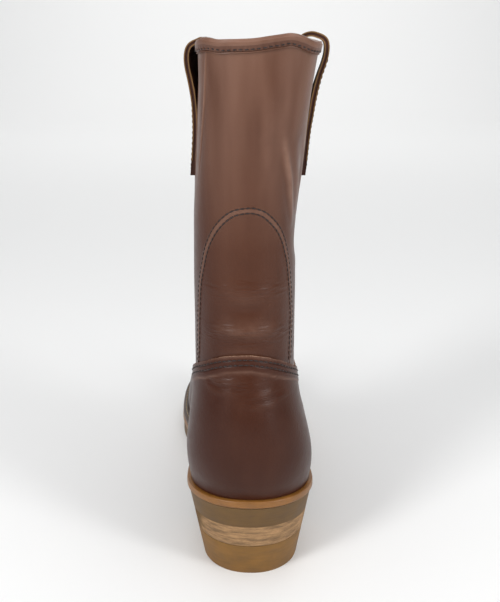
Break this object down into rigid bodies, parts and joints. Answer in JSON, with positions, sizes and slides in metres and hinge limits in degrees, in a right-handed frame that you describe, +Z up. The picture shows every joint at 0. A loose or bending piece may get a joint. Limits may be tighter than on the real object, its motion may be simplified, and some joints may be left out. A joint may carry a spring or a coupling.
{
  "type": "western work boot",
  "caption": "Pull-on western work boot for the right foot: plain leather upper with open shaft and pull straps, on a welted sole with a tall tapered heel.",
  "frame": {"origin": "middle of the boot's bounding box in plan, on the floor that it stands on", "axes": "+Y points to the toe, +X to the outer (lateral) side of the right foot, +Z up along the shaft"},
  "size_m": [0.1026, 0.3028, 0.3137],
  "materials": {
    "upper_leather": "smooth oiled leather, mid brown, satin",
    "strap_leather": "the same leather in two plies with raw tan edges",
    "insole_leather": "undyed smooth leather",
    "welt_leather": "waxed orange tan edge",
    "sole_rubber": "matt tan rubber",
    "heel_lift": "coarse stacked lift with level fibres, matt",
    "heel_rubber": "moulded tan rubber, matt"
  },
  "bodies": {
    "root": {"upper": "upper_leather", "collar_binding": "upper_leather", "pull_strap_medial": "strap_leather", "pull_strap_lateral": "strap_leather", "insole": "insole_leather", "welt": "welt_leather", "midsole": "welt_leather", "outsole": "sole_rubber", "heel_base": "heel_lift", "heel_cap": "heel_rubber"}
  },
  "joints": []
}
